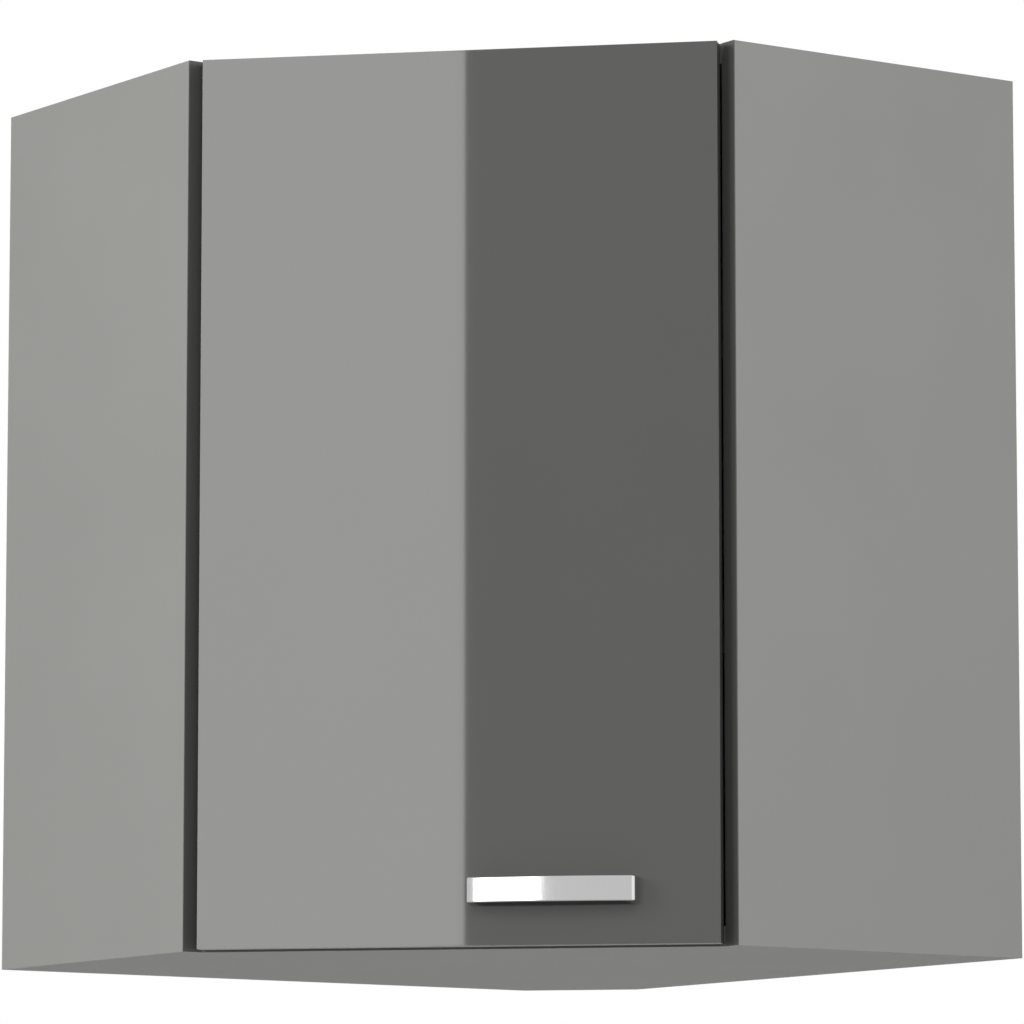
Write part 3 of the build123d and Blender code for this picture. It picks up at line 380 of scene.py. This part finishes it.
for part in frame["record"]["subparts"]:
    dress(nodes[part["node"]], part["material_slot"])
for side in ("left", "right"):
    dress(nodes[f"{side}_wall_rail"], "galvanised_steel")
dress(nodes["door_edge_bands"], "door_edging")


# ---------------------------------------------------------------- soft edges on the fittings
SMOOTH_ANGLE = math.radians(34)
SHARP_ANGLE = math.radians(40)
FLAT_ANGLE = math.radians(0.5)
SAME_CORNER = 1e-6
SHEET_EDGE = 0.00012
MOULDED_EDGE = 0.0004


def smooth_shading():
    """Geometry nodes that shade every edge flatter than an angle smoothly."""
    group = bpy.data.node_groups.new("smooth_shading", "GeometryNodeTree")
    for way in ("INPUT", "OUTPUT"):
        group.interface.new_socket("Geometry", in_out=way, socket_type="NodeSocketGeometry")
    given = group.nodes.new("NodeGroupInput")
    result = group.nodes.new("NodeGroupOutput")
    edge_angle = group.nodes.new("GeometryNodeInputMeshEdgeAngle")
    flatter = group.nodes.new("FunctionNodeCompare")
    flatter.operation = "LESS_THAN"
    flatter.inputs["B"].default_value = SMOOTH_ANGLE
    faces = group.nodes.new("GeometryNodeSetShadeSmooth")
    edges = group.nodes.new("GeometryNodeSetShadeSmooth")
    edges.domain = "EDGE"
    group.links.new(edge_angle.outputs["Unsigned Angle"], flatter.inputs["A"])
    group.links.new(flatter.outputs["Result"], edges.inputs["Shade Smooth"])
    group.links.new(given.outputs["Geometry"], faces.inputs["Geometry"])
    group.links.new(faces.outputs["Geometry"], edges.inputs["Geometry"])
    group.links.new(edges.outputs["Geometry"], result.inputs["Geometry"])
    return group


shading = smooth_shading()


def soften(piece, width):
    """Joins a fitting's triangles, dissolves its flats and rounds its sharp edges a little."""
    weld = piece.modifiers.new("joined_corners", "WELD")
    weld.merge_threshold = SAME_CORNER
    flats = piece.modifiers.new("plain_flats", "DECIMATE")
    flats.decimate_type = "DISSOLVE"
    flats.angle_limit = FLAT_ANGLE
    edges = piece.modifiers.new("soft_edges", "BEVEL")
    edges.width = width
    edges.segments = 2
    edges.limit_method = "ANGLE"
    edges.angle_limit = SHARP_ANGLE
    piece.modifiers.new("even_shading", "NODES").node_group = shading
    flat_faces = piece.modifiers.new("flat_faces", "WEIGHTED_NORMAL")
    flat_faces.keep_sharp = True


metal_fittings = ["handle_screws", "cam_locks", "cam_bolts", "hanger_adjusters"]
for height in ("lower", "upper"):
    metal_fittings.append(f"{height}_shelf_pins")
    for part in (
        "hinge_cup", "cup_screws", "hinge_pin", "closing_spring", "hinge_arm",
        "mounting_plate", "plate_screws", "depth_screw", "side_screw",
    ):
        metal_fittings.append(f"{height}_{part}")
for side in ("left", "right"):
    metal_fittings += [f"{side}_hanger_hook", f"{side}_hanger_screws", f"{side}_wall_rail"]
for name in metal_fittings:
    soften(nodes[name], SHEET_EDGE)
for name in ("cam_covers", "door_bumpers", "left_hanger_housing", "right_hanger_housing"):
    soften(nodes[name], MOULDED_EDGE)


# ---------------------------------------------------------------- bow handle
CREASE_ANGLE = math.radians(32)


def settle(name, mesh, finish, body, slot, *stands_for):
    """Makes an object of a finished bmesh, dresses it and lets it ride on its body."""
    bmesh.ops.remove_doubles(mesh, verts=mesh.verts, dist=SAME_CORNER)
    bmesh.ops.recalc_face_normals(mesh, faces=mesh.faces)
    data = bpy.data.meshes.new(name)
    for face in mesh.faces:
        face.smooth = True
    for edge in mesh.edges:
        edge.smooth = len(edge.link_faces) == 2 and edge.calc_face_angle() < CREASE_ANGLE
    mesh.to_mesh(data)
    mesh.free()
    piece = bpy.data.objects.new(name, data)
    bpy.context.scene.collection.objects.link(piece)
    dress(piece, finish)
    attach(piece, body)
    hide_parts(*stands_for)
    return piece


# The handle's arcs are finely divided, so that reflections run smoothly along them.
HANDLE_ACROSS = 0.078                                      # of its middle, right of the door's middle
HANDLE_UP = 0.0438                                         # of its middle, above the underside
HANDLE_HEIGHT = 0.0200
HANDLE_HALF = 0.0675                                       # of its length
HANDLE_LEG = 0.007
HANDLE_END_DEPTH = 0.022                                   # of its front at the legs
HANDLE_BOW = 0.005                                         # more at the middle
HANDLE_BAR = 0.005
HANDLE_MAIN = 0.060                                        # half of the bow's flatter middle
HANDLE_END_RADIUS = 0.110                                  # of the bow's rounder ends
HANDLE_CORNER = 0.0045
HANDLE_EDGE = 0.001
BOW_STEPS = 36
CORNER_STEPS = 10
RIM_STEPS = 5
HANDLE_SCREW_RADIUS = 0.002
HANDLE_SCREW_GRIP = 0.009                                  # depth of the screw's hole in a leg
BORE_STEPS = 32

handle_foot = front_point(HANDLE_ACROSS, DOOR_FRONT, HANDLE_UP - HANDLE_HEIGHT / 2)
handle_turn = Matrix((ALONG, INWARD, UP)).transposed().to_4x4()
handle_place = Matrix.Translation(handle_foot) @ handle_turn


def swung(mesh, vertex, centre, turn, steps):
    """Sweeps a vertex about an upright axis and gives back the last vertex of its arc."""
    arc = bmesh.ops.spin(mesh, geom=[vertex], cent=centre, axis=(0, 0, 1), angle=turn, steps=steps)
    return next(part for part in arc["geom_last"] if isinstance(part, bmesh.types.BMVert))


def bore_foot(mesh, foot):
    """Makes the blind hole for a screw in the middle of one of the handle's feet."""
    turned = Matrix.Translation(foot.calc_center_median()) @ Matrix.Rotation(math.pi / 2, 4, "X")
    outline = foot.edges[:]
    bmesh.ops.delete(mesh, geom=[foot], context="FACES_ONLY")
    circle = bmesh.ops.create_circle(
        mesh, segments=BORE_STEPS, radius=HANDLE_SCREW_RADIUS, matrix=turned
    )["verts"]
    mouth = list(dict.fromkeys(edge for vertex in circle for edge in vertex.link_edges))
    bmesh.ops.triangle_fill(mesh, use_beauty=True, edges=outline + mouth)
    sunk = bmesh.ops.extrude_edge_only(mesh, edges=mouth)["geom"]
    bottom = [part for part in sunk if isinstance(part, bmesh.types.BMVert)]
    bmesh.ops.translate(mesh, verts=bottom, vec=(0, -HANDLE_SCREW_GRIP, 0))
    ends = [edge for edge in sunk if isinstance(edge, bmesh.types.BMEdge) and len(edge.link_faces) == 1]
    bmesh.ops.contextual_create(mesh, geom=ends)


def bow_handle():
    """Half of the plan drawn with arcs, mirrored, filled, raised to its height and rounded."""
    mesh = bmesh.new()
    radius = (HANDLE_HALF**2 + HANDLE_BOW**2) / (2 * HANDLE_BOW)
    centre = Vector((0, radius - HANDLE_END_DEPTH - HANDLE_BOW, 0))
    main_turn = math.asin(HANDLE_MAIN / radius)
    end_reach = HANDLE_HALF - HANDLE_CORNER - HANDLE_MAIN
    end_turn = math.asin(
        (math.sin(main_turn) + end_reach / HANDLE_END_RADIUS) / (1 - HANDLE_CORNER / HANDLE_END_RADIUS)
    )

    def inward_of(vertex, turn, distance):
        return vertex.co + Vector((-math.sin(turn), math.cos(turn), 0)) * distance

    front = mesh.verts.new(centre + Vector((0, -radius, 0)))
    front = swung(mesh, front, centre, main_turn, BOW_STEPS)
    end_centre = inward_of(front, main_turn, HANDLE_END_RADIUS)
    front = swung(mesh, front, end_centre, end_turn - main_turn, CORNER_STEPS)
    corner_centre = inward_of(front, end_turn, HANDLE_CORNER)
    front = swung(mesh, front, corner_centre, math.pi / 2 - end_turn, CORNER_STEPS)
    inner_radius = radius - HANDLE_BAR
    inner_turn = math.asin((HANDLE_HALF - HANDLE_LEG) / inner_radius)
    back = mesh.verts.new(centre + Vector((0, -inner_radius, 0)))
    back = swung(mesh, back, centre, inner_turn, BOW_STEPS)
    foot_outer = mesh.verts.new((HANDLE_HALF, 0, 0))
    foot_inner = mesh.verts.new((HANDLE_HALF - HANDLE_LEG, 0, 0))
    for pair in ((front, foot_outer), (foot_outer, foot_inner), (foot_inner, back)):
        mesh.edges.new(pair)
    bmesh.ops.mirror(
        mesh,
        geom=mesh.verts[:] + mesh.edges[:],
        matrix=Matrix.Identity(4),
        merge_dist=SAME_CORNER,
        axis="X",
    )
    bmesh.ops.remove_doubles(mesh, verts=mesh.verts, dist=SAME_CORNER)
    plan = bmesh.ops.contextual_create(mesh, geom=mesh.edges[:])["faces"]
    raised = bmesh.ops.extrude_face_region(mesh, geom=plan)["geom"]
    top = [v for v in raised if isinstance(v, bmesh.types.BMVert)]
    bmesh.ops.translate(mesh, verts=top, vec=(0, 0, HANDLE_HEIGHT))
    bmesh.ops.recalc_face_normals(mesh, faces=mesh.faces)
    rims = [
        edge for edge in mesh.edges
        if edge.calc_face_angle() > CREASE_ANGLE
        and abs(edge.verts[0].co.z - edge.verts[1].co.z) < HANDLE_HEIGHT / 2
        and all(v.co.y < -HANDLE_EDGE for v in edge.verts)
    ]
    bmesh.ops.bevel(
        mesh,
        geom=rims,
        affect="EDGES",
        offset=HANDLE_EDGE,
        offset_type="OFFSET",
        segments=RIM_STEPS,
        profile=0.5,
        material=-1,
        clamp_overlap=True,
    )
    feet = [face for face in mesh.faces if all(abs(v.co.y) < SAME_CORNER for v in face.verts)]
    for foot in feet:
        bore_foot(mesh, foot)
    bmesh.ops.triangulate(mesh, faces=[f for f in mesh.faces if len(f.verts) > 4])
    bmesh.ops.transform(mesh, matrix=handle_place, verts=mesh.verts)
    return mesh


bar_handle = settle("bow_handle", bow_handle(), "chrome", "door", "chrome", "handle")
weighted = bar_handle.modifiers.new("even_shading", "WEIGHTED_NORMAL")
weighted.keep_sharp = True
weighted.weight = 100

# ---------------------------------------------------------------- floor, light and background
FLOOR_MIDDLE = (*CABINET_MIDDLE, -1.4)
FLOOR_RADIUS = 5.0
FLOOR_TONE = (0.565, 0.565, 0.565)
FADE_FROM = 1.2                                            # where the floor starts to turn white
FADE_TO = FLOOR_RADIUS - 0.2
AMBIENT = 0.41
WHITE = 1.0


def seen_directly(tree):
    """1 for what the camera, a reflection or a clear material sees, 0 for what lights the object."""
    path = tree.nodes.new("ShaderNodeLightPath")
    total = path.outputs["Is Camera Ray"]
    for name in ("Is Glossy Ray", "Is Transmission Ray"):
        larger = tree.nodes.new("ShaderNodeMath")
        larger.operation = "MAXIMUM"
        tree.links.new(total, larger.inputs[0])
        tree.links.new(path.outputs[name], larger.inputs[1])
        total = larger.outputs["Value"]
    return total


def white_world():
    world = bpy.data.worlds.new("studio")
    world.use_nodes = True
    tree = world.node_tree
    level = tree.nodes.new("ShaderNodeMapRange")
    level.inputs["To Min"].default_value = AMBIENT
    level.inputs["To Max"].default_value = WHITE
    tree.links.new(seen_directly(tree), level.inputs["Value"])
    background = tree.nodes["Background"]
    background.inputs["Color"].default_value = (1, 1, 1, 1)
    tree.links.new(level.outputs["Result"], background.inputs["Strength"])
    bpy.context.scene.world = world


def pale_floor():
    mesh = bmesh.new()
    bmesh.ops.create_circle(mesh, cap_ends=True, segments=96, radius=FLOOR_RADIUS)
    bmesh.ops.translate(mesh, verts=mesh.verts, vec=FLOOR_MIDDLE)
    data = bpy.data.meshes.new("floor")
    mesh.to_mesh(data)
    mesh.free()
    floor = bpy.data.objects.new("floor", data)
    bpy.context.scene.collection.objects.link(floor)
    made = Finish("pale_floor", FLOOR_TONE, 0.9)
    made.shader.inputs["Specular IOR Level"].default_value = 0.1
    mottle = made.noise(9, 3)
    made.paint(made.mixed(made.spread(mottle, 0, 1), made.shade(0.985), made.shade(1.0)))
    away = made.node("ShaderNodeVectorMath", operation="DISTANCE")
    away.inputs[1].default_value = FLOOR_MIDDLE
    made.join(made.place, away.inputs[0])
    fade = made.node("ShaderNodeMapRange", interpolation_type="SMOOTHSTEP")
    fade.inputs["From Min"].default_value = FADE_FROM
    fade.inputs["From Max"].default_value = FADE_TO
    made.join(away.outputs["Value"], fade.inputs["Value"])
    glow = made.node("ShaderNodeEmission")
    glow.inputs["Strength"].default_value = WHITE
    blend = made.node("ShaderNodeMixShader")
    whitened = made.combine(fade.outputs["Result"], seen_directly(made.tree), "MULTIPLY")
    made.join(whitened, blend.inputs["Fac"])
    made.join(made.shader.outputs["BSDF"], blend.inputs[1])
    made.join(glow.outputs["Emission"], blend.inputs[2])
    made.join(blend.outputs["Shader"], made.tree.nodes["Material Output"].inputs["Surface"])
    data.materials.append(made.material)


def softbox(name, middle, width, height, radiance, target, colour=(1, 1, 1)):
    """An area light that faces its target, with the radiance of its face given directly."""
    data = bpy.data.lights.new(name, "AREA")
    data.shape = "RECTANGLE"
    data.size = width
    data.size_y = height
    data.energy = radiance * width * height * math.pi
    data.color = colour
    light = bpy.data.objects.new(name, data)
    light.location = middle
    light.rotation_euler = (target - middle).to_track_quat("-Z", "Y").to_euler()
    bpy.context.scene.collection.objects.link(light)
    return light


white_world()
pale_floor()

# Each key's turn is in degrees to the right of straight in front of the door.
LEFT_KEY = {"turn": -40, "away": 3.2, "up": 0.9, "size": (1.6, 1.8), "radiance": 4.87}
FRONT_KEY = {"turn": 10, "away": 3.4, "up": 1.0, "size": (2.0, 1.6), "radiance": 5.56}
RIGHT_KEY = {"turn": 70, "away": 2.8, "up": 0.7, "size": (3.2, 2.4), "radiance": 0.5}
BACK_KEY = {"turn": 180, "away": 3.6, "up": 1.4, "size": (2.6, 1.6), "radiance": 2.4}
TOP_KEY = {"turn": 180, "away": 0.25, "up": 3.8, "size": (2.4, 2.4), "radiance": 1.5}
LEFT_KEY_COLOUR = (1.0, 1.0, 0.975)
KEY_AIM = front_point(0, 0.2, 0.36)                        # inside the cabinet, at half its height

# The card whose reflection whitens the left part of the door and of the handle.
CARD_DISTANCE = 2.5
CARD_RIGHT = -0.4672                                       # its edges, across from the door's middle
CARD_LEFT = -1.168
CARD_LOW = -0.1                                            # and above the cabinet's underside
CARD_HIGH = 1.6
CARD_RADIANCE = 4.83


def key_softbox(name, turn, away, up, size, radiance, colour=(1, 1, 1)):
    """A softbox at an angle to the door, aimed into the middle of the cabinet."""
    angle = math.radians(turn)
    place = front_point(math.sin(angle) * away, -math.cos(angle) * away, up)
    return softbox(name, place, *size, radiance, KEY_AIM, colour)


unreflected = (
    key_softbox("left_key", **LEFT_KEY, colour=LEFT_KEY_COLOUR),
    key_softbox("front_key", **FRONT_KEY),
    key_softbox("back_key", **BACK_KEY),
    key_softbox("top_key", **TOP_KEY),
)
for light in unreflected:
    light.visible_glossy = False
key_softbox("right_key", **RIGHT_KEY)
card_middle = front_point(
    (CARD_LEFT + CARD_RIGHT) / 2,
    DOOR_FRONT - CARD_DISTANCE,
    (CARD_LOW + CARD_HIGH) / 2,
)
card = softbox(
    "reflection_card",
    card_middle,
    CARD_RIGHT - CARD_LEFT,
    CARD_HIGH - CARD_LOW,
    CARD_RADIANCE,
    card_middle + INWARD,
)
card.visible_diffuse = False

# ---------------------------------------------------------------- camera
LENS_PIXELS = 6206                                         # focal length in pixels of the picture
SENSOR = 36.0
PICTURE = 1024                                             # its width in pixels
HEADING = 0.1794                                           # radians left of straight ahead
PITCH = 0.1345                                             # radians upwards
CAMERA_PLACE = front_point(0.9126, -4.7958, -0.3143)

camera_data = bpy.data.cameras.new("camera")
camera_data.sensor_width = SENSOR
camera_data.lens = LENS_PIXELS / PICTURE * SENSOR
camera_data.clip_end = 100
camera = bpy.data.objects.new("camera", camera_data)
bpy.context.scene.collection.objects.link(camera)
level_aim = INWARD * math.cos(HEADING) - ALONG * math.sin(HEADING)
aim = level_aim * math.cos(PITCH) + UP * math.sin(PITCH)
camera.location = CAMERA_PLACE
camera.rotation_euler = aim.to_track_quat("-Z", "Y").to_euler()
bpy.context.scene.camera = camera
bpy.context.scene.view_settings.view_transform = "Standard"
